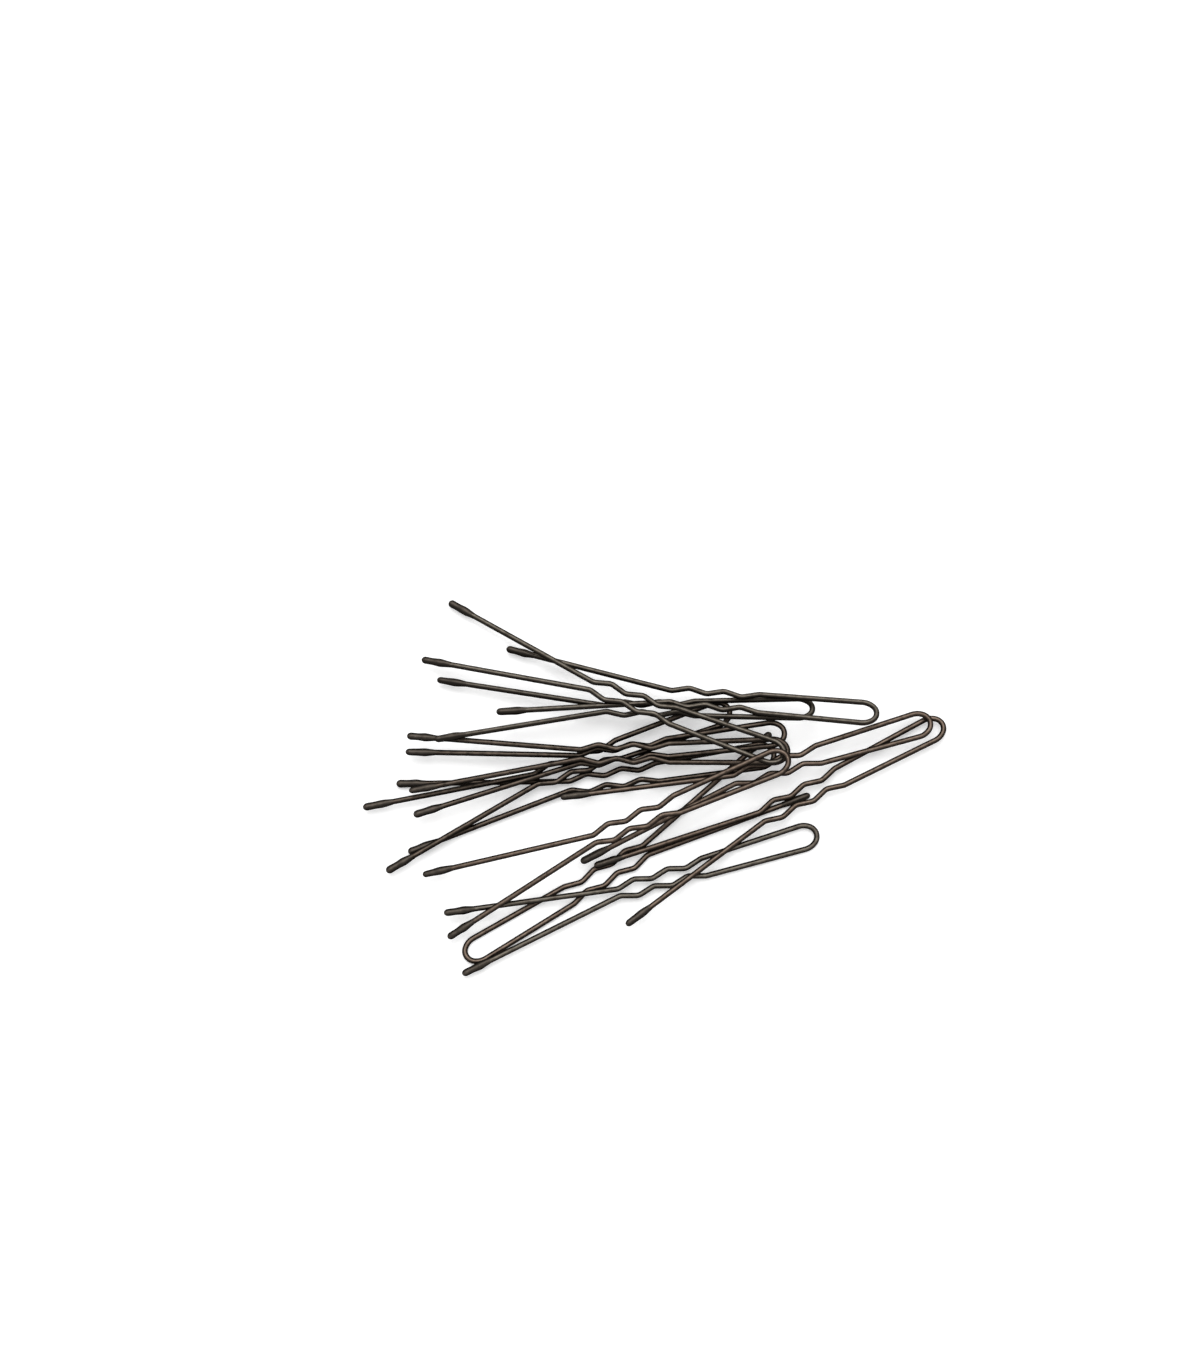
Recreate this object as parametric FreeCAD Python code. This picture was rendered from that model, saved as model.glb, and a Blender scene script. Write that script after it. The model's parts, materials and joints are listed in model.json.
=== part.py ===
"""A loose heap of twelve crimped U-shaped hairpins.

Each pin is bent from one lacquered spring-steel wire: a round crown, two legs with three crimps each, and
straight flared ends that are dipped in thick lacquer. The wire is kept as a crown and two legs that meet face
to face, because the right leg springs about the crown. Units are millimetres, Z is up, and the heap stands on
Z = 0 with its plan centred on the origin.
"""
import FreeCAD, Part
import math
import os

# Wire and reach of one pin
WIRE_DIAMETER = 0.95
PIN_LENGTH = 63.5             # from the apex of the crown to the ends of the tips

# Crown: a tight bend at the apex between two wider shoulders
CROWN_WIDTH = 4.0             # between the centre lines of the two legs
CROWN_SHOULDER_RADIUS = 2.9
CROWN_SHOULDER_TURN = 40.0    # degrees of each shoulder

# Crimps: both legs pinch in and bulge out together
CRIMP_COUNT = 3
CRIMP_PITCH = 5.9
CRIMPED_LENGTH = 34.6         # from the apex to the last inward crimp
CRIMP_OUTER_WIDTH = 3.2       # between the legs' centre lines at the bulges
CRIMP_INNER_WIDTH = 1.5       # between the legs' centre lines at the pinches
CRIMP_BEND_RADIUS = 1.8

# Flared ends and their dipped tips
FLARE_ANGLE = 10.0            # degrees from the axis of the pin, the usual value
TIP_LENGTH = 5.3
TIP_DIAMETER = 1.42
TIP_WAIST_DIAMETER = 1.35
TIP_TAPER_LENGTH = 2.2
TIP_EDGE_THICKNESS = 0.04     # lacquer at the end of the taper
TIP_COVER = 0.6               # lacquer beyond the end of the wire
TIP_FIT = 0.01                # between the wire and the lacquer around it

# Rest of the heap
REST_GAP = 0.08               # between a pin and what it lies on
FLOOR_HEIGHT = 0.0
SPREAD_INWARD = 0.2           # degrees that the right leg springs towards the left one
SPREAD_OUTWARD = 3.0          # degrees that it springs away
SPREAD_STEPS = 7              # positions of the springing leg that are kept clear
SAMPLE_SHARE = 0.35           # spacing of the resting samples, of the wire's diameter
SETTLE_PASSES = 4
EXCHANGE_LIMIT = 80

# The pins from the bottom of the heap to its top: the apex of each crown in plan, as shares of a pin's length.
CROWN_PLACE_SHARES = (
    (-0.498, -0.451),
    (0.314, 0.086),
    (0.196, 0.204),
    (0.425, -0.125),
    (0.765, 0.170),
    (0.731, 0.173),
    (0.341, 0.138),
    (0.348, 0.085),
    (0.416, 0.201),
    (0.583, 0.179),
    (0.332, 0.054),
    (0.341, 0.046),
)

# For each pin, in degrees: the heading of its legs in plan, how far each leg is pinched towards the other, and
# the flare of the left and of the right end.
PIN_ANGLES = (
    (30.9, -0.2, 10.5, 10.2),
    (188.8, 0.0, 12.4, 8.2),
    (200.0, -0.2, 10.4, 8.7),
    (197.0, 0.3, 10.1, 9.0),
    (207.7, -0.2, 9.4, 9.3),
    (197.0, 0.1, 10.5, 9.5),
    (187.5, 0.2, 10.3, 9.1),
    (180.9, 0.0, 9.8, 5.6),
    (180.0, 0.3, 11.7, 11.2),
    (174.3, -0.6, 9.0, 10.3),
    (157.8, 0.0, 10.5, 9.3),
    (201.9, 0.2, 10.1, 10.1),
)

WIRE_RADIUS = WIRE_DIAMETER / 2
TIP_RADIUS = TIP_DIAMETER / 2
SAMPLE_STEP = SAMPLE_SHARE * WIRE_DIAMETER
SPREAD_RANGE = SPREAD_INWARD + SPREAD_OUTWARD
SPREAD_POSITIONS = [SPREAD_RANGE * k / (SPREAD_STEPS - 1) - SPREAD_INWARD for k in range(SPREAD_STEPS)]
ORIGIN = FreeCAD.Vector()
UP = FreeCAD.Vector(0, 0, 1)


def in_plane(u, v):
    """A point of the pin's own flat frame: u runs from the apex along the pin, v towards the left leg."""
    return FreeCAD.Vector(u, v, 0)


def turned(point, centre, degrees):
    """The point turned about the centre in the pin's plane, anticlockwise for positive degrees."""
    return centre + FreeCAD.Rotation(UP, degrees).multVec(point - centre)


def mirrored(points):
    return [in_plane(p.x, -p.y) for p in points]


def arc_edge(start, centre, degrees):
    """An arc from a start point, turned about its centre."""
    middle = turned(start, centre, degrees / 2)
    return Part.Arc(start, middle, turned(start, centre, degrees)).toShape()


def shoulder_start():
    """Where the apex bend meets the left shoulder, and the radius of the apex bend."""
    turn = math.radians(CROWN_SHOULDER_TURN)
    apex_radius = (CROWN_WIDTH / 2 - CROWN_SHOULDER_RADIUS * (1 - math.cos(turn))) / math.cos(turn)
    point = in_plane(apex_radius * (1 - math.sin(turn)), apex_radius * math.cos(turn))
    return point, apex_radius


def crown_end(lean):
    """Where the left shoulder meets a leg that leans in by some degrees, and the centre of that shoulder."""
    start, _ = shoulder_start()
    turn = math.radians(CROWN_SHOULDER_TURN)
    inward = in_plane(math.sin(turn), -math.cos(turn))
    centre = start + inward * CROWN_SHOULDER_RADIUS
    return turned(start, centre, -CROWN_SHOULDER_TURN - lean), centre


def crown_wire(lean):
    """The path of the crown, from the end at the right leg over the apex to the end at the left leg."""
    start, apex_radius = shoulder_start()
    end, centre = crown_end(lean)
    right_start, right_end, right_centre = mirrored([start, end, centre])
    apex_centre = in_plane(apex_radius, 0)
    apex_turn = 180 - 2 * CROWN_SHOULDER_TURN
    shoulder_turn = CROWN_SHOULDER_TURN + lean
    edges = [
        arc_edge(right_end, right_centre, -shoulder_turn),
        arc_edge(right_start, apex_centre, -apex_turn),
        arc_edge(start, centre, -shoulder_turn),
    ]
    return Part.Wire(edges)


def leg_corners(pinch, flare):
    """Corners of the left leg from the crown to the end of its tip, and how far it leans in at the crown."""
    first_crimp = CRIMPED_LENGTH - (CRIMP_COUNT - 0.5) * CRIMP_PITCH
    straight_start, _ = crown_end(0)
    fall = straight_start.y - CRIMP_OUTER_WIDTH / 2
    lean = math.degrees(math.atan2(fall, first_crimp - straight_start.x))
    corners = []
    for k in range(CRIMP_COUNT):
        bulge = first_crimp + k * CRIMP_PITCH
        corners.append(in_plane(bulge, CRIMP_OUTER_WIDTH / 2))
        corners.append(in_plane(bulge + CRIMP_PITCH / 2, CRIMP_INNER_WIDTH / 2))
    flared_run = (PIN_LENGTH - CRIMPED_LENGTH) / math.cos(math.radians(FLARE_ANGLE))
    turn = math.radians(flare)
    corners.append(corners[-1] + in_plane(math.cos(turn), math.sin(turn)) * flared_run)
    start, _ = crown_end(lean + pinch)
    shift = start - straight_start
    return [start] + [turned(p + shift, start, -pinch) for p in corners], lean + pinch


def rounded_wire(corners, radius):
    """Straight runs through the corners, joined by tangent arcs."""
    edges = []
    run_start = corners[0]
    for before, corner, after in zip(corners, corners[1:], corners[2:]):
        arrive = (corner - before).normalize()
        leave = (after - corner).normalize()
        turn = math.degrees(math.atan2(arrive.cross(leave).z, arrive.dot(leave)))
        setback = radius * math.tan(math.radians(abs(turn) / 2))
        bend_start = corner - arrive * setback
        side = math.copysign(radius, turn)
        centre = bend_start + in_plane(-arrive.y, arrive.x) * side
        edges.append(Part.LineSegment(run_start, bend_start).toShape())
        edges.append(arc_edge(bend_start, centre, turn))
        run_start = corner + leave * setback
    edges.append(Part.LineSegment(run_start, corners[-1]).toShape())
    return Part.Wire(edges)


def swept_wire(path):
    """A round wire along a path of straight runs and tangent arcs."""
    first = path.Edges[0]
    start = first.valueAt(first.FirstParameter)
    section = Part.Wire(Part.makeCircle(WIRE_RADIUS, start, first.tangentAt(first.FirstParameter)))
    return path.makePipeShell([section], True, False)


def dipped_tip(end, along):
    """A drop of lacquer over the end of a leg: taper, slight waist and round end, bored for the wire."""
    bore = WIRE_RADIUS + TIP_FIT
    edge = WIRE_RADIUS + TIP_EDGE_THICKNESS
    floor = TIP_LENGTH - TIP_COVER
    round_start = TIP_LENGTH - TIP_RADIUS
    waist = (TIP_TAPER_LENGTH + round_start) / 2
    slant = TIP_RADIUS * math.sqrt(0.5)
    across = UP.cross(along)
    base = end - along * TIP_LENGTH

    def point(distance, radius):
        return base + along * distance + across * radius

    outline = [
        Part.LineSegment(point(0, bore), point(0, edge)),
        Part.LineSegment(point(0, edge), point(TIP_TAPER_LENGTH, TIP_RADIUS)),
        Part.Arc(
            point(TIP_TAPER_LENGTH, TIP_RADIUS),
            point(waist, TIP_WAIST_DIAMETER / 2),
            point(round_start, TIP_RADIUS),
        ),
        Part.Arc(point(round_start, TIP_RADIUS), point(round_start + slant, slant), end),
        Part.LineSegment(end, point(floor, 0)),
        Part.LineSegment(point(floor, 0), point(floor, bore)),
        Part.LineSegment(point(floor, bore), point(0, bore)),
    ]
    face = Part.Face(Part.Wire([curve.toShape() for curve in outline]))
    return face.revolve(base, along, 360)


def resting_plane(points, centre, start):
    """The plane z = a x + b y + c that a rigid piece comes to rest on over points it may not sink below.

    Three of the points carry it, around its centre of mass. The point that stands highest above the plane
    through them takes the place of one of them until none stands above.
    """
    carriers = list(start)
    for _ in range(EXCHANGE_LIMIT):
        plane = plane_through(carriers)
        highest = max(points, key=lambda p: height_over(plane, p))
        if height_over(plane, highest) <= 0:
            break
        swaps = [carriers[:k] + [highest] + carriers[k + 1:] for k in range(3)]
        fitting = [swap for swap in swaps if surrounds(swap, centre)]
        if not fitting:
            break
        carriers = fitting[0]
    a, b, c = plane_through(carriers)
    excess = max(height_over((a, b, c), p) for p in points)
    return a, b, c + max(0, excess)


def plane_through(points):
    p, q, r = points
    normal = (q - p).cross(r - p)
    a = -normal.x / normal.z
    b = -normal.y / normal.z
    return a, b, p.z - a * p.x - b * p.y


def height_over(plane, point):
    a, b, c = plane
    return point.z - a * point.x - b * point.y - c


def surrounds(points, centre):
    """Whether the centre lies inside the triangle of the points in plan."""
    sides = []
    for here, there in zip(points, points[1:] + points[:1]):
        sides.append((there.x - here.x) * (centre.y - here.y) - (there.y - here.y) * (centre.x - here.x))
    return min(sides) > 0 or max(sides) < 0


class Support:
    """The floor and the pins that lie already, as round samples sorted into square cells in plan."""

    def __init__(self):
        self.cell = TIP_DIAMETER + REST_GAP
        self.samples = {}

    def key(self, point):
        return math.floor(point.x / self.cell), math.floor(point.y / self.cell)

    def add(self, points, radii):
        for point, radius in zip(points, radii):
            self.samples.setdefault(self.key(point), []).append((point, radius))

    def raised(self, point, radius):
        """The point at the lowest height where a round of this radius lies clear of everything."""
        column, row = self.key(point)
        height = FLOOR_HEIGHT + radius
        for i in (column - 1, column, column + 1):
            for j in (row - 1, row, row + 1):
                for other, other_radius in self.samples.get((i, j), ()):
                    reach = radius + other_radius + REST_GAP
                    room = reach ** 2 - (other.x - point.x) ** 2 - (other.y - point.y) ** 2
                    if room > 0:
                        height = max(height, other.z + math.sqrt(room))
        return FreeCAD.Vector(point.x, point.y, height)


class Hairpin:
    """One pin: its paths in its own flat frame, and where it comes to rest."""

    def __init__(self, name, place_share, angles):
        heading, pinch, left_flare, right_flare = angles
        self.name = name
        self.apex = FreeCAD.Vector(*place_share, 0) * PIN_LENGTH
        self.heading = math.radians(heading)
        self.plane = (0, 0, 0)
        left, lean = leg_corners(pinch, left_flare)
        right = mirrored(leg_corners(pinch, right_flare)[0])
        self.crown = crown_wire(lean)
        self.corners = {"left": left, "right": right}
        self.hinge = right[0]

    def leg_wire(self, side):
        """The path of a leg, which ends inside its tip."""
        corners = list(self.corners[side])
        corners[-1] = corners[-1] - self.tip_direction(side) * (TIP_COVER + TIP_FIT)
        return rounded_wire(corners, CRIMP_BEND_RADIUS)

    def tip_direction(self, side):
        before, end = self.corners[side][-2:]
        return (end - before).normalize()

    def leg_samples(self, side):
        """Points along a leg and its tip, each with the radius there."""
        path = rounded_wire(self.corners[side], CRIMP_BEND_RADIUS)
        end = self.corners[side][-1]
        samples = []
        for point in path.discretize(Distance=SAMPLE_STEP):
            distance = point.distanceToPoint(end)
            if distance >= TIP_RADIUS:
                samples.append((point, TIP_RADIUS if distance < TIP_LENGTH else WIRE_RADIUS))
        return samples

    def samples(self):
        """Points of the whole pin, with its right leg at every position that it springs to."""
        found = [(point, WIRE_RADIUS) for point in self.crown.discretize(Distance=SAMPLE_STEP)]
        found += self.leg_samples("left")
        for spread in SPREAD_POSITIONS:
            leg = self.leg_samples("right")
            found += [(turned(point, self.hinge, -spread), radius) for point, radius in leg]
        return found

    def placement(self):
        """From the pin's flat frame to its place: on its resting plane, with its legs along the heading."""
        a, b, c = self.plane
        ahead = FreeCAD.Vector(math.cos(self.heading), math.sin(self.heading), 0)
        ahead.z = a * ahead.x + b * ahead.y
        normal = FreeCAD.Vector(-a, -b, 1).normalize()
        ahead.normalize()
        base = FreeCAD.Vector(self.apex.x, self.apex.y, a * self.apex.x + b * self.apex.y + c)
        return FreeCAD.Placement(base, FreeCAD.Rotation(ahead, normal.cross(ahead), normal))

    def settle(self, support):
        """Lets the pin down on what lies already, and adds it to that."""
        samples = self.samples()
        radii = [radius for _, radius in samples]
        at_rest = [point for side in ("left", "right") for point, _ in self.leg_samples(side)]
        centre = sum(at_rest, FreeCAD.Vector()) / len(at_rest)
        ends = [ORIGIN, self.corners["left"][-1], self.corners["right"][-1]]
        for _ in range(SETTLE_PASSES):
            place = self.placement()
            points = [support.raised(place.multVec(point), radius) for point, radius in samples]
            start = [support.raised(place.multVec(point), WIRE_RADIUS) for point in ends]
            self.plane = resting_plane(points, place.multVec(centre), start)
        place = self.placement()
        placed = [place.multVec(point) for point, _ in samples]
        sunk = max(support.raised(point, radius).z - point.z for point, radius in zip(placed, radii))
        a, b, c = self.plane
        self.plane = (a, b, c + max(0, sunk))
        place = self.placement()
        support.add([place.multVec(point) for point, _ in samples], radii)

    def solids(self):
        """The pin's pieces by name, at the place where it lies."""
        pieces = {self.name + "_crown": swept_wire(self.crown)}
        for side in ("left", "right"):
            pieces[f"{self.name}_{side}_leg"] = swept_wire(self.leg_wire(side))
            tip = dipped_tip(self.corners[side][-1], self.tip_direction(side))
            pieces[f"{self.name}_{side}_tip"] = tip
        for solid in pieces.values():
            solid.Placement = self.placement()
        return pieces


# The pins are let down one after another.
pins = []
lying = Support()
for number, (place_share, angles) in enumerate(zip(CROWN_PLACE_SHARES, PIN_ANGLES), 1):
    pin = Hairpin(f"pin_{number:02d}", place_share, angles)
    pin.settle(lying)
    pins.append(pin)

# The heap is moved so that the origin is at the bottom centre of its box.
solids = {}
for pin in pins:
    solids.update(pin.solids())
box = Part.makeCompound(list(solids.values())).optimalBoundingBox(False, False)
to_origin = FreeCAD.Vector(-box.Center.x, -box.Center.y, -box.ZMin)
os.makedirs("parts", exist_ok=True)
for name, solid in solids.items():
    solid.translate(to_origin)
    solid.exportStep(f"parts/{name}.step")
print(f"{len(solids)} pieces, {box.XLength:.2f} x {box.YLength:.2f} x {box.ZLength:.2f} mm")
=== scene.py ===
import json
import math
import bpy
import numpy as np
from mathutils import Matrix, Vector


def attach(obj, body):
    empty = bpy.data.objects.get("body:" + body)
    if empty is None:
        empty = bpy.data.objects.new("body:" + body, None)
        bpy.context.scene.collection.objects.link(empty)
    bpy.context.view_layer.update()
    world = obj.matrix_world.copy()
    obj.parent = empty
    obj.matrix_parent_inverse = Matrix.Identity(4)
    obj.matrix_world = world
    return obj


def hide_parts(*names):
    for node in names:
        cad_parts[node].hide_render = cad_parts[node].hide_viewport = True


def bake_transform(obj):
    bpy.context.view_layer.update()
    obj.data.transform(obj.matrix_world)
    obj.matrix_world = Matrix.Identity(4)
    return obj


# A loose heap of crimped hairpins: lacquered wire bent to a U, with the ends of the legs dipped in thicker
# lacquer.
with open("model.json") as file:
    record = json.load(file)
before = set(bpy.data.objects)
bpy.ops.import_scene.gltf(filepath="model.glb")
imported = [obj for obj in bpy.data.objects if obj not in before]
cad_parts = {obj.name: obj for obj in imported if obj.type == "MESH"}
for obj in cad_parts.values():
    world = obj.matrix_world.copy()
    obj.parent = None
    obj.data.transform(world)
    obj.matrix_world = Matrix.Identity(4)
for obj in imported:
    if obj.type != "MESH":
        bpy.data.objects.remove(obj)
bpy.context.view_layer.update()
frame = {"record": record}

# Sizes of one pin, in metres
MM = 0.001
WIRE_RADIUS = 0.475 * MM
PIN_LENGTH = 63.5 * MM
CROWN_WIDTH = 4.0 * MM
SHOULDER_RADIUS = 2.9 * MM
SHOULDER_TURN = math.radians(40)
CRIMPS = 3
CRIMP_PITCH = 5.9 * MM
CRIMPED_LENGTH = 34.6 * MM
CRIMP_OUTER_WIDTH = 3.2 * MM
CRIMP_INNER_WIDTH = 1.5 * MM
CRIMP_BEND = 1.8 * MM
FLARE = math.radians(10)
TIP_LENGTH = 5.3 * MM
TIP_RADIUS = 0.71 * MM
TIP_WAIST_RADIUS = 0.675 * MM
TIP_TAPER = 2.2 * MM
TIP_EDGE = 0.04 * MM
TIP_COVER = 0.6 * MM
TIP_FIT = 0.01 * MM

# How each pin is bent, in degrees: the pinch of its legs, and the flare of its left and right end
PIN_BENDS = {
    "pin_01": (-0.2, 10.5, 10.2),
    "pin_02": (0.0, 12.4, 8.2),
    "pin_03": (-0.2, 10.4, 8.7),
    "pin_04": (0.3, 10.1, 9.0),
    "pin_05": (-0.2, 9.4, 9.3),
    "pin_06": (0.1, 10.5, 9.5),
    "pin_07": (0.2, 10.3, 9.1),
    "pin_08": (0.0, 9.8, 5.6),
    "pin_09": (0.3, 11.7, 11.2),
    "pin_10": (-0.6, 9.0, 10.3),
    "pin_11": (0.0, 10.5, 9.3),
    "pin_12": (0.2, 10.1, 10.1),
}

# Fineness of the surfaces
RING_SIDES = 24
RING_STEP = 0.2 * MM
PATH_SAMPLES = 4001
BEND_FADE_SAMPLES = 41
TIP_RINGS = 26
TIP_END_RINGS = 16
SHARP_EDGE = math.radians(50)
AROUND = np.linspace(0, 2 * math.pi, RING_SIDES, endpoint=False)

# Unevenness of the coat on a wire, as a share of its radius. Each wave has a rate along the wire in radians
# per metre, a weight and a phase, drawn between the two rows, and a number of turns around the wire.
COAT_DEPTH = 0.02
COAT_WAVES_FROM = (0.7 / MM, 0.6, 0)
COAT_WAVES_TO = (3.2 / MM, 1.6, 2 * math.pi)
COAT_TURNS = np.array([0, 1, 1, 2, 3])
COAT_FADE = 4 * WIRE_RADIUS

# Unevenness of a dipped tip: shares of its radius, and the wander of its edge
TAPER_FULLNESS = 0.8
DRIED_SHARE = 0.03
HEAVY_SIDE = 0.02
OVAL = 0.01
SWELLING = 0.02
SWELLING_RATE = (1.6, 2.6)
RUN_BACK = (0.02, 0.19)
EDGE_SWING = 0.22 * MM
EDGE_RIPPLE = 0.12 * MM
EDGE_SETBACK = 0.34 * MM

# Painted shade on the flanks of a wire and a tip, standing in for the dark edges of a lit round wire, by the
# sideways distance from the middle as a share of the radius: none up to the first, full from the second
WIRE_FLANK_SHADE = (0.0, 0.7)
TIP_FLANK_SHADE = (0.05, 0.8)
CROWN_WEAR = 0.5

# Random draws: a base for the legs and one for the tips, and the range of a phase in radians
LEG_SEED = 200
TIP_SEED = 1000
PHASES = (0, 6)


# The bent wire

def eased(share):
    """A smooth rise from 0 to 1, level at both ends: 3 s^2 - 2 s^3."""
    return share ** 2 * (3 - 2 * share)


def carried_path(start, breaks, headings, length):
    """Centre line of a bent wire in the pin's plane.

    The heading is a function of the length along the wire: constant on straight runs and growing evenly over
    bends. The place is the running sum of the heading's cosine and sine. Returns lengths, points, headings
    and bend, which is 1 where the wire curves and 0 where it is straight.
    """
    fine = np.linspace(0, length, PATH_SAMPLES)
    angle = np.interp(fine, breaks, headings)
    step = np.stack([np.cos(angle), np.sin(angle)], axis=1)
    place = np.zeros_like(step)
    place[1:] = np.cumsum((step[1:] + step[:-1]) / 2 * (fine[1] - fine[0]), axis=0)
    along = np.linspace(0, length, int(length / RING_STEP) + 2)
    points = np.stack([np.interp(along, fine, place[:, k]) + start[k] for k in (0, 1)], axis=1)
    curved = (np.abs(np.gradient(angle)) > 1e-9).astype(float)
    soft = np.convolve(curved, np.ones(BEND_FADE_SAMPLES) / BEND_FADE_SAMPLES, mode="same")
    return along, points, np.interp(along, breaks, headings), np.interp(along, fine, soft)


def crown_turns(lean):
    """Lengths and headings of the crown, a tight arc at the apex between two wider ones, from the right leg's
    end to the left leg's end, and the place of its right end."""
    cos, sin = math.cos(SHOULDER_TURN), math.sin(SHOULDER_TURN)
    apex_radius = (CROWN_WIDTH / 2 - SHOULDER_RADIUS * (1 - cos)) / cos
    apex_end = np.array([apex_radius * (1 - sin), apex_radius * cos])
    centre = apex_end + SHOULDER_RADIUS * np.array([sin, -cos])
    left_end = centre + SHOULDER_RADIUS * np.array([math.sin(lean), math.cos(lean)])
    shoulder = SHOULDER_RADIUS * (SHOULDER_TURN + lean)
    apex = apex_radius * (math.pi - 2 * SHOULDER_TURN)
    breaks = np.cumsum([0, shoulder, apex, shoulder])
    headings = [math.pi + lean, math.pi - SHOULDER_TURN, SHOULDER_TURN, -lean]
    return breaks, headings, left_end * [1, -1]


def leg_turns(pinch, flare):
    """Lengths and headings of a left leg, from the crown to the end of its tip, and its lean at the crown:
    straight runs between the crimps' corners, each rounded by an arc that starts its radius times the tangent
    of half the turn before the corner."""
    first = CRIMPED_LENGTH - (CRIMPS - 0.5) * CRIMP_PITCH
    start = crown_turns(0)[2] * [1, -1]
    u = np.append(start[0], first + CRIMP_PITCH / 2 * np.arange(2 * CRIMPS))
    v = np.append(start[1], np.tile([CRIMP_OUTER_WIDTH / 2, CRIMP_INNER_WIDTH / 2], CRIMPS))
    flared_run = (PIN_LENGTH - CRIMPED_LENGTH) / math.cos(FLARE)
    runs = np.append(np.hypot(np.diff(u), np.diff(v)), flared_run)
    runs_heading = np.append(np.arctan2(np.diff(v), np.diff(u)), flare)
    turns = np.abs(np.diff(runs_heading))
    setback = CRIMP_BEND * np.tan(turns / 2)
    straight = runs - np.append(0, setback) - np.append(setback, 0)
    spans = np.ravel(np.column_stack([straight, np.append(CRIMP_BEND * turns, 0)]))[:-1]
    return np.append(0, np.cumsum(spans)), np.repeat(runs_heading, 2) - pinch, pinch - runs_heading[0]


def coat(along, seed):
    """Unevenness of the dried lacquer over a tube, as a share of its radius: a few waves along the wire whose
    phase turns with the angle around it."""
    rng = np.random.default_rng(seed)
    waves = rng.uniform(COAT_WAVES_FROM, COAT_WAVES_TO, (len(COAT_TURNS), 3))
    phase = along[:, None, None] * waves[:, 0] + AROUND[None, :, None] * COAT_TURNS + waves[:, 2]
    return COAT_DEPTH * np.mean(np.sin(phase) * waves[:, 1], axis=2)


def wire_grid(points, headings, radius):
    """A tube: each ring is its centre plus the radius times the cosine of the angle towards the wire's left
    and the sine of the angle up out of the pin's plane."""
    left = np.stack([-np.sin(headings), np.cos(headings)], axis=1)
    grid = np.zeros(radius.shape + (3,))
    grid[..., :2] = points[:, None, :] + (radius * np.cos(AROUND))[..., None] * left[:, None, :]
    grid[..., 2] = radius * np.sin(AROUND)
    return grid


def unshaded_share(rings, full, none):
    """How much of a tube is left out of the painted shade on its flanks, which stands in for the dark edges
    of a lit round wire: all of it on the upper and lower side, and nothing at its flanks. It falls smoothly
    with the distance from the middle, as a share of the radius, from full to none."""
    share = np.clip((none - np.abs(np.cos(AROUND))) / (none - full), 0, 1)
    return np.tile(eased(share), (rings, 1))


def tip_grid(seed):
    """A dipped tip about its own axis: a profile of distance and radius turned about it, from the floor of
    the bore out over the thin edge, the taper, the waist and the round end. The edge of the dip wanders a
    little around the wire, the drop is heavier on one side, and it thins towards the round end where the
    lacquer ran back."""
    rng = np.random.default_rng(seed)
    bore = WIRE_RADIUS + TIP_FIT
    edge = WIRE_RADIUS + TIP_EDGE
    bore_floor = TIP_LENGTH - TIP_COVER
    round_start = TIP_LENGTH - TIP_RADIUS
    share = np.linspace(0, 1, TIP_RINGS)
    taper = edge + (TIP_RADIUS - edge) * eased(share) ** TAPER_FULLNESS
    sway = (TIP_RADIUS - TIP_WAIST_RADIUS) * np.sin(math.pi * share) ** 2
    quarter = np.linspace(0, math.pi / 2, TIP_END_RINGS)[1:]
    bore_distance = [bore_floor, bore_floor, 0]
    bore_radius = [0, bore, bore]
    distance = np.concatenate([
        bore_distance,
        TIP_TAPER * share,
        TIP_TAPER + (round_start - TIP_TAPER) * share[1:],
        round_start + TIP_RADIUS * np.sin(quarter[:-1]),
        [TIP_LENGTH],
    ])
    radius = np.concatenate([
        bore_radius,
        taper,
        TIP_RADIUS - sway[1:],
        TIP_RADIUS * np.cos(quarter[:-1]),
        [0],
    ])
    mouth = len(bore_radius)
    outer = np.arange(len(radius)) >= mouth
    heavy = rng.uniform(0, 2 * math.pi)
    swell = (np.clip(distance / TIP_TAPER, 0, 1) * outer)[:, None]
    lumps = HEAVY_SIDE * np.cos(AROUND - heavy) + OVAL * np.cos(2 * AROUND + rng.uniform(*PHASES))
    wave = SWELLING * np.sin(distance * rng.uniform(*SWELLING_RATE) / MM + rng.uniform(*PHASES))
    beyond_taper = np.clip((distance - TIP_TAPER) / (round_start - TIP_TAPER), 0, 1)
    run_down = rng.uniform(*RUN_BACK) * beyond_taper
    scale = 1 - DRIED_SHARE * swell + swell * (lumps[None, :] + (wave - run_down)[:, None])
    ripple = EDGE_RIPPLE * np.cos(AROUND * 3 + rng.uniform(*PHASES))
    ragged = EDGE_SWING * np.cos(AROUND * 2 + heavy) + ripple
    near_edge = np.clip(1 - distance / TIP_TAPER, 0, 1) * outer
    grid = np.zeros((len(radius), RING_SIDES, 3))
    grid[..., 0] = distance[:, None] + near_edge[:, None] * (ragged[None, :] + EDGE_SETBACK)
    grid[..., 1] = radius[:, None] * scale * np.cos(AROUND)
    grid[..., 2] = radius[:, None] * scale * np.sin(AROUND)
    # The mouth of the bore follows the ragged edge.
    grid[mouth - 1, :, 0] = grid[mouth, :, 0]
    return grid, distance, outer


# Pieces

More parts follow.
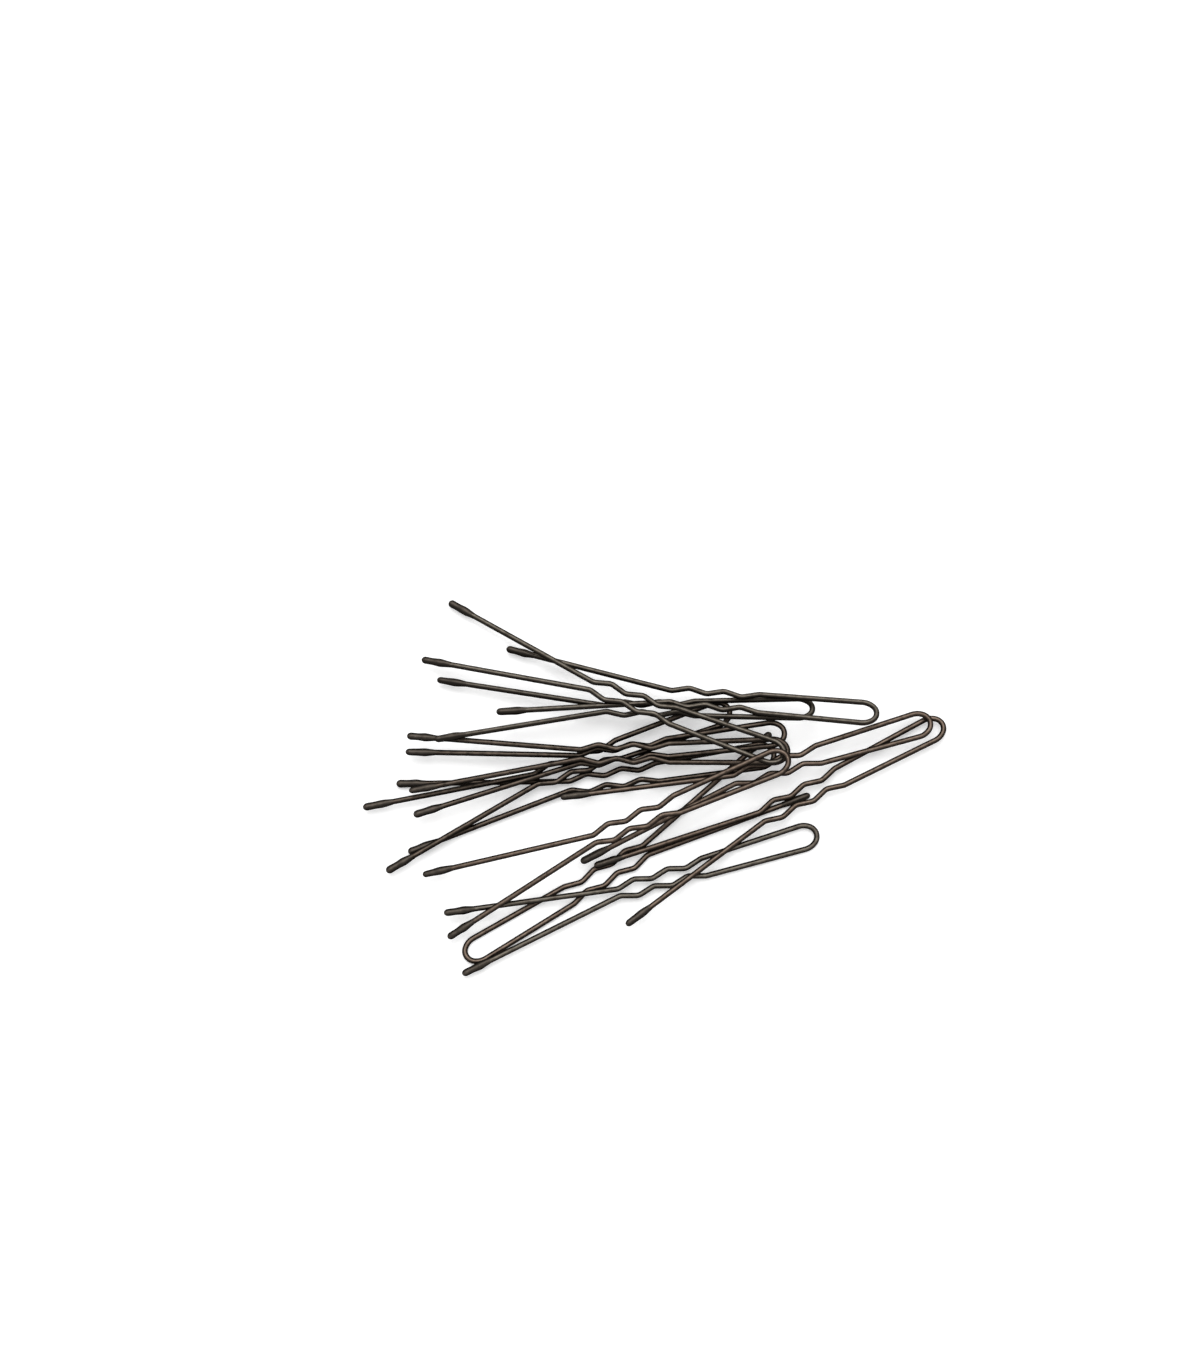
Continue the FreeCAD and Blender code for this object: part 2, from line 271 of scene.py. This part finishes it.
def closed_mesh(name, grid, along, values):
    """A closed surface from a grid of rings, with a pole at each end. A UV map runs along the wire and around
    it, and each named value is kept for every vertex."""
    rings, sides, _ = grid.shape
    body = grid.reshape(-1, 3)
    poles = grid[[0, -1]].mean(axis=1)
    index = np.arange(rings * sides).reshape(rings, sides)
    after = np.roll(index, -1, axis=1)
    quads = np.stack([index[:-1], index[1:], after[1:], after[:-1]], axis=-1).reshape(-1, 4)
    first = np.stack([np.full(sides, rings * sides), index[0], after[0]], axis=-1)
    last = np.stack([np.full(sides, rings * sides + 1), after[-1], index[-1]], axis=-1)
    corners = np.concatenate([quads.ravel(), first.ravel(), last.ravel()])
    starts = np.concatenate([np.arange(len(quads)) * 4, len(quads) * 4 + np.arange(2 * sides) * 3])
    mesh = bpy.data.meshes.new(name)
    mesh.vertices.add(len(body) + 2)
    mesh.vertices.foreach_set("co", np.concatenate([body, poles]).ravel())
    mesh.loops.add(len(corners))
    mesh.loops.foreach_set("vertex_index", corners.astype(np.int32))
    mesh.polygons.add(len(starts))
    mesh.polygons.foreach_set("loop_start", starts.astype(np.int32))
    mesh.update(calc_edges=True)
    mesh.validate()
    for label, value in values.items():
        spread = np.broadcast_to(value.reshape(len(value), -1), (rings, sides))
        at_poles = spread[[0, -1]].mean(axis=1)
        store = mesh.attributes.new(label, "FLOAT", "POINT")
        store.data.foreach_set("value", np.append(spread, at_poles).astype(np.float32))
    uv = mesh.uv_layers.new(name="along_wire")
    length_share = np.append(np.repeat(along / PIN_LENGTH, sides), along[[0, -1]] / PIN_LENGTH)
    around_share = np.append(np.tile(np.arange(sides) / sides, rings), [0.5, 0.5])
    vertex = np.zeros(len(mesh.loops), np.int32)
    mesh.loops.foreach_get("vertex_index", vertex)
    uv.data.foreach_set("uv", np.stack([length_share[vertex], around_share[vertex]], axis=1).ravel())
    mesh.polygons.foreach_set("use_smooth", np.ones(len(mesh.polygons), bool))
    mesh.set_sharp_from_angle(angle=SHARP_EDGE)
    piece = bpy.data.objects.new(name, mesh)
    bpy.context.scene.collection.objects.link(piece)
    return piece


joints = {joint["name"]: joint for joint in frame["record"]["behaviour"]["joints"]}
mounts = {mount["name"]: mount for mount in frame["record"]["mounts"]}


def pin_axes(pin, right_end):
    """Where a pin lies: its hinge is the right end of the crown, its plane is square to the hinge's axis, and
    its hair gap opens along it. Returns the apex and the axes along the pin, across to the left leg and up
    out of its plane."""
    hinge = joints[f"{pin}_spread"]
    up = -np.array(hinge["axis"])
    up /= np.linalg.norm(up)
    along = np.array(mounts[f"{pin}_hair_gap"]["axis"])
    along -= up * (along @ up)
    along /= np.linalg.norm(along)
    axes = np.stack([along, np.cross(up, along), up])
    apex = np.array(hinge["pos_m"]) - np.append(right_end, 0) @ axes
    return apex, axes


def lay(pin, right_end, grid):
    """Points of a pin, from its own plane to where it lies in the heap."""
    apex, axes = pin_axes(pin, right_end)
    return grid @ axes + apex


def hang_on(piece, body, node, material):
    """Gives a piece its finish, hides the solid that it stands for, and hangs the piece on the body that
    carries it, where one is given.
    """
    piece.data.materials.append(material)
    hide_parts(node)
    if body:
        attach(piece, body)


def make_pin(pin, number, wire_finish, tip_finish):
    """One pin: crown, two legs and two tips, each in the place of its solid."""
    pinch, left_flare, right_flare = (math.radians(angle) for angle in PIN_BENDS[pin])
    lean = leg_turns(pinch, left_flare)[2]
    breaks, headings, right_end = crown_turns(lean)
    left_end = right_end * [1, -1]
    along, points, turn, bend = carried_path(right_end, breaks, headings, breaks[-1])
    fade = np.sin(math.pi * along / along[-1])[:, None]
    radius = WIRE_RADIUS * (1 + fade * coat(along, number))
    crown = closed_mesh(f"{pin}_bow", lay(pin, right_end, wire_grid(points, turn, radius)), along,
                        {"bend": bend * CROWN_WEAR, "unshaded": unshaded_share(len(along), *WIRE_FLANK_SHADE)})
    hang_on(crown, None, f"{pin}_crown", wire_finish)
    ends = [lay(pin, right_end, np.append(end, 0)) for end in (left_end, right_end)]
    tuple(ends[0])
    tuple(ends[1])
    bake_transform(crown)
    for side, flare, mirror, body in (
        ("left", left_flare, 1, pin),
        ("right", right_flare, -1, f"{pin}_sprung_leg"),
    ):
        breaks, headings, _ = leg_turns(pinch, flare)
        wire_length = breaks[-1] - TIP_COVER - TIP_FIT
        along, points, turn, bend = carried_path(left_end, breaks, headings, wire_length)
        fade = np.clip(np.minimum(along, wire_length - along) / COAT_FADE, 0, 1)[:, None]
        radius = WIRE_RADIUS * (1 + fade * coat(along, LEG_SEED + 100 * mirror + 10 * number))
        path = points * [1, mirror]
        grid = lay(pin, right_end, wire_grid(path, turn * mirror, radius))
        leg = closed_mesh(f"{pin}_{side}_wire", grid, along,
                          {"bend": bend, "unshaded": unshaded_share(len(along), *WIRE_FLANK_SHADE)})
        hang_on(leg, body, f"{pin}_{side}_leg", wire_finish)
        ahead = np.array([math.cos(headings[-1]), mirror * math.sin(headings[-1]), 0])
        tip_axes = np.stack([ahead, np.array([-ahead[1], ahead[0], 0]), np.array([0, 0, 1])])
        tip_start = np.append(path[-1], 0) - ahead * (TIP_LENGTH - TIP_COVER - TIP_FIT)
        shape, distance, outer = tip_grid(TIP_SEED + 10 * number + mirror)
        drop = closed_mesh(f"{pin}_{side}_dip", lay(pin, right_end, shape @ tip_axes + tip_start), distance,
                           {"dip": np.clip(distance / TIP_LENGTH, 0, 1) * outer,
                            "unshaded": unshaded_share(len(distance), *TIP_FLANK_SHADE)})
        hang_on(drop, body, f"{pin}_{side}_tip", tip_finish)


# Finishes

def nodes_of(tree):
    """Two short ways to work on a node tree: add a node with settings, and join sockets."""
    def add(kind, **settings):
        node = tree.nodes.new(kind)
        for key, value in settings.items():
            setattr(node, key, value)
        return node

    def join(source, target):
        tree.links.new(source, target)
    return add, join


def effect(name, inputs, outputs):
    """An empty node group with named values in and out, the ways to work on it and its two end nodes."""
    group = bpy.data.node_groups.new(name, "ShaderNodeTree")
    for label, default in inputs.items():
        socket = group.interface.new_socket(label, in_out="INPUT", socket_type="NodeSocketFloat")
        socket.default_value = default
    for label in outputs:
        group.interface.new_socket(label, in_out="OUTPUT", socket_type="NodeSocketFloat")
    add, join = nodes_of(group)
    return group, add, join, add("NodeGroupInput"), add("NodeGroupOutput")


def lacquer_flow():
    """Cloudy thickness of a dipped or sprayed lacquer, and the height of its fine orange-peel skin."""
    group, add, join, given, result = effect(
        "lacquer_flow", {"Cloud Scale": 900.0, "Peel Scale": 5200.0, "Contrast": 1.0}, ("Cloud", "Height"))
    place = add("ShaderNodeTexCoord")
    cloud = add("ShaderNodeTexNoise")
    cloud.inputs["Detail"].default_value = 3.0
    cloud.inputs["Roughness"].default_value = 0.6
    join(place.outputs["Object"], cloud.inputs["Vector"])
    join(given.outputs["Cloud Scale"], cloud.inputs["Scale"])
    spread = add("ShaderNodeMapRange", clamp=True)
    spread.inputs["From Min"].default_value = 0.32
    spread.inputs["From Max"].default_value = 0.68
    join(cloud.outputs["Fac"], spread.inputs["Value"])
    power = add("ShaderNodeMath", operation="POWER")
    join(spread.outputs["Result"], power.inputs[0])
    join(given.outputs["Contrast"], power.inputs[1])
    join(power.outputs["Value"], result.inputs["Cloud"])
    peel = add("ShaderNodeTexNoise")
    peel.inputs["Detail"].default_value = 2.0
    join(place.outputs["Object"], peel.inputs["Vector"])
    join(given.outputs["Peel Scale"], peel.inputs["Scale"])
    height = add("ShaderNodeMath", operation="MULTIPLY_ADD")
    height.inputs[1].default_value = 0.6
    join(peel.outputs["Fac"], height.inputs[0])
    join(power.outputs["Value"], height.inputs[2])
    join(height.outputs["Value"], result.inputs["Height"])
    return group


def rubbed_bends():
    """Where bends rub on each other and the lacquer wears thin: broken flecks that gather on the crimps."""
    group, add, join, given, result = effect("rubbed_bends", {"Bend": 0.0, "Amount": 0.5}, ("Wear",))
    place = add("ShaderNodeTexCoord")
    fleck = add("ShaderNodeTexNoise")
    fleck.inputs["Scale"].default_value = 2600.0
    fleck.inputs["Detail"].default_value = 4.0
    fleck.inputs["Roughness"].default_value = 0.7
    join(place.outputs["Object"], fleck.inputs["Vector"])
    level = add("ShaderNodeMath", operation="MULTIPLY")
    join(given.outputs["Bend"], level.inputs[0])
    join(given.outputs["Amount"], level.inputs[1])
    rise = add("ShaderNodeMath", operation="MULTIPLY_ADD")
    rise.inputs[1].default_value = 0.3
    join(level.outputs["Value"], rise.inputs[0])
    join(fleck.outputs["Fac"], rise.inputs[2])
    cut = add("ShaderNodeMapRange", clamp=True)
    cut.inputs["From Min"].default_value = 0.66
    cut.inputs["From Max"].default_value = 0.84
    join(rise.outputs["Value"], cut.inputs["Value"])
    join(cut.outputs["Result"], result.inputs["Wear"])
    return group


FLOW = lacquer_flow()
RUB = rubbed_bends()
GLOSS_SPREAD = 0.08
GRAZING_TINT = (0.05, 0.045, 0.04)
SKIN_HEIGHT = 0.02 * MM


def lacquer(name, flank_shade, thick, thin, rubbed, mask, amount, roughness, sheen, bump):
    """Lacquer over steel: deep colour where it is thick, a lighter one where it is thin, and dull metal where
    it is rubbed through. The flanks of a wire get the darkest colour as a painted shade, for the dark edges
    of a lit round wire."""
    material = bpy.data.materials.new(name)
    material.use_nodes = True
    tree = material.node_tree
    tree.nodes.clear()
    add, join = nodes_of(tree)
    surface = add("ShaderNodeBsdfPrincipled")
    output = add("ShaderNodeOutputMaterial")
    join(surface.outputs["BSDF"], output.inputs["Surface"])
    flow = add("ShaderNodeGroup", node_tree=FLOW)
    wear = add("ShaderNodeGroup", node_tree=RUB)
    wear.inputs["Amount"].default_value = amount
    kept = add("ShaderNodeAttribute", attribute_name=mask)
    join(kept.outputs["Fac"], wear.inputs["Bend"])
    depth = add("ShaderNodeMix", data_type="RGBA")
    depth.inputs["A"].default_value = (*thick, 1)
    depth.inputs["B"].default_value = (*thin, 1)
    join(flow.outputs["Cloud"], depth.inputs["Factor"])
    worn = add("ShaderNodeMix", data_type="RGBA")
    worn.inputs["B"].default_value = (*rubbed, 1)
    join(depth.outputs["Result"], worn.inputs["A"])
    join(wear.outputs["Wear"], worn.inputs["Factor"])
    # Painted shade: the flanks of the wire take the dark flank colour, for the dark edges of a lit round
    # wire.
    colour = add("ShaderNodeMix", data_type="RGBA")
    colour.inputs["A"].default_value = (*flank_shade, 1)
    join(worn.outputs["Result"], colour.inputs["B"])
    join(add("ShaderNodeAttribute", attribute_name="unshaded").outputs["Fac"], colour.inputs["Factor"])
    join(colour.outputs["Result"], surface.inputs["Base Color"])
    gloss = add("ShaderNodeMapRange")
    gloss.inputs["To Min"].default_value = roughness - GLOSS_SPREAD
    gloss.inputs["To Max"].default_value = roughness + GLOSS_SPREAD
    join(flow.outputs["Cloud"], gloss.inputs["Value"])
    join(gloss.outputs["Result"], surface.inputs["Roughness"])
    surface.inputs["Metallic"].default_value = sheen
    surface.inputs["Specular Tint"].default_value = (*GRAZING_TINT, 1)
    skin = add("ShaderNodeBump")
    skin.inputs["Strength"].default_value = bump
    skin.inputs["Distance"].default_value = SKIN_HEIGHT
    join(flow.outputs["Height"], skin.inputs["Height"])
    join(skin.outputs["Normal"], surface.inputs["Normal"])
    surface.inputs["IOR"].default_value = 1.5
    return material


# The first colour of each lacquer is a painted shade for the flanks of the wire, not a colour of the lacquer
# itself.
ON_WIRE = {"mask": "bend", "amount": 0.5, "roughness": 0.34, "sheen": 0.95, "bump": 0.25}
ON_TIP = {"mask": "dip", "amount": 0.3, "roughness": 0.42, "sheen": 0.95, "bump": 0.4}
brown_lacquer = lacquer(
    "brown_lacquer", flank_shade=(0.022, 0.0185, 0.015), thick=(0.066, 0.057, 0.047),
    thin=(0.162, 0.143, 0.118), rubbed=(0.20, 0.17, 0.14), **ON_WIRE)
umber_lacquer = lacquer(
    "umber_lacquer", flank_shade=(0.025, 0.0185, 0.0145), thick=(0.074, 0.055, 0.043),
    thin=(0.178, 0.134, 0.105), rubbed=(0.22, 0.165, 0.125), **ON_WIRE)
dark_lacquer = lacquer(
    "dark_lacquer", flank_shade=(0.016, 0.0127, 0.010), thick=(0.036, 0.029, 0.023),
    thin=(0.116, 0.090, 0.072), rubbed=(0.18, 0.14, 0.11), **ON_WIRE)
dipped_lacquer = lacquer(
    "dipped_lacquer", flank_shade=(0.018, 0.0155, 0.013), thick=(0.042, 0.036, 0.030),
    thin=(0.092, 0.077, 0.064), rubbed=(0.14, 0.12, 0.10), **ON_TIP)

WIRE_FINISH = dict.fromkeys(("pin_04", "pin_09", "pin_10", "pin_11"), brown_lacquer)
WIRE_FINISH |= dict.fromkeys(("pin_01", "pin_05", "pin_06", "pin_12"), umber_lacquer)
WIRE_FINISH |= dict.fromkeys(("pin_02", "pin_03", "pin_07", "pin_08"), dark_lacquer)
for number, pin in enumerate(PIN_BENDS, 1):
    make_pin(pin, number, WIRE_FINISH[pin], dipped_lacquer)


# Table, light and camera: places in metres, and the camera's distance in millimetres

TABLE_HALF = 40.0
TABLE_DROP = 0.01 * MM
TABLE_GLOW = 0.28
LAMP_PLACE = (-0.12, 0.75, 2.4)
CAMERA_TARGET = Vector((-9.398, 18.788, 0)) * MM
CAMERA_ELEVATION = math.radians(76)
CAMERA_DISTANCE = 480


def seen_rays(add, join):
    """1 for what the camera sees, straight on, in gloss or through glass."""
    ray = add("ShaderNodeLightPath")
    straight = add("ShaderNodeMath", operation="MAXIMUM")
    join(ray.outputs["Is Camera Ray"], straight.inputs[0])
    join(ray.outputs["Is Glossy Ray"], straight.inputs[1])
    any_way = add("ShaderNodeMath", operation="MAXIMUM")
    join(straight.outputs["Value"], any_way.inputs[0])
    join(ray.outputs["Is Transmission Ray"], any_way.inputs[1])
    return any_way.outputs["Value"]


def table_top():
    """A plain white surface under the heap."""
    mesh = bpy.data.meshes.new("table_top")
    corners = [(x * TABLE_HALF, y * TABLE_HALF, 0) for x, y in ((-1, -1), (1, -1), (1, 1), (-1, 1))]
    mesh.from_pydata(corners, [], [(0, 1, 2, 3)])
    top = bpy.data.objects.new("table_top", mesh)
    top.location.z = -TABLE_DROP
    bpy.context.scene.collection.objects.link(top)
    material = bpy.data.materials.new("white_table")
    material.use_nodes = True
    tree = material.node_tree
    add, join = nodes_of(tree)
    surface = tree.nodes["Principled BSDF"]
    surface.inputs["Base Color"].default_value = (0.97, 0.97, 0.97, 1)
    surface.inputs["Roughness"].default_value = 0.9
    surface.inputs["Specular IOR Level"].default_value = 0.1
    surface.inputs["Emission Color"].default_value = (1, 1, 1, 1)
    glow = add("ShaderNodeMath", operation="MULTIPLY")
    glow.inputs[1].default_value = TABLE_GLOW
    join(seen_rays(add, join), glow.inputs[0])
    join(glow.outputs["Value"], surface.inputs["Emission Strength"])
    mesh.materials.append(material)


def studio_light():
    """White light from all round, stronger from above, and one large soft lamp behind and above the heap."""
    world = bpy.data.worlds.new("white_room")
    bpy.context.scene.world = world
    world.use_nodes = True
    tree = world.node_tree
    tree.nodes.clear()
    add, join = nodes_of(tree)
    sky = add("ShaderNodeTexCoord")
    height = add("ShaderNodeSeparateXYZ")
    rise = add("ShaderNodeMapRange", clamp=True)
    rise.inputs["From Min"].default_value = 0.15
    rise.inputs["From Max"].default_value = 0.95
    rise.inputs["To Min"].default_value = 0.12
    rise.inputs["To Max"].default_value = 1.15
    join(sky.outputs["Generated"], height.inputs["Vector"])
    join(height.outputs["Z"], rise.inputs["Value"])
    lit = add("ShaderNodeBackground")
    lit.inputs["Color"].default_value = (1, 1, 1, 1)
    join(rise.outputs["Result"], lit.inputs["Strength"])
    seen = add("ShaderNodeBackground")
    seen.inputs["Color"].default_value = (1, 1, 1, 1)
    seen.inputs["Strength"].default_value = 1.0
    mix = add("ShaderNodeMixShader")
    join(seen_rays(add, join), mix.inputs["Fac"])
    join(lit.outputs["Background"], mix.inputs[1])
    join(seen.outputs["Background"], mix.inputs[2])
    join(mix.outputs["Shader"], add("ShaderNodeOutputWorld").inputs["Surface"])
    lamp = bpy.data.lights.new("soft_lamp", "AREA")
    lamp.size = 1.6
    lamp.energy = 25.0
    holder = bpy.data.objects.new("soft_lamp", lamp)
    holder.location = LAMP_PLACE
    holder.rotation_euler = (-holder.location).to_track_quat("-Z", "Y").to_euler()
    bpy.context.scene.collection.objects.link(holder)


def photo_camera():
    """A camera above the heap, looking down at it steeply."""
    camera = bpy.data.cameras.new("photo_camera")
    camera.lens = 74.57
    camera.sensor_width = 36.0
    camera.clip_start = 0.01
    camera.clip_end = 100
    holder = bpy.data.objects.new("photo_camera", camera)
    back = Vector((0, -math.cos(CAMERA_ELEVATION), math.sin(CAMERA_ELEVATION)))
    holder.location = CAMERA_TARGET + back * CAMERA_DISTANCE * MM
    holder.rotation_euler = (-back).to_track_quat("-Z", "Y").to_euler()
    bpy.context.scene.collection.objects.link(holder)
    bpy.context.scene.camera = holder


table_top()
studio_light()
photo_camera()
bpy.context.scene.view_settings.view_transform = "Standard"
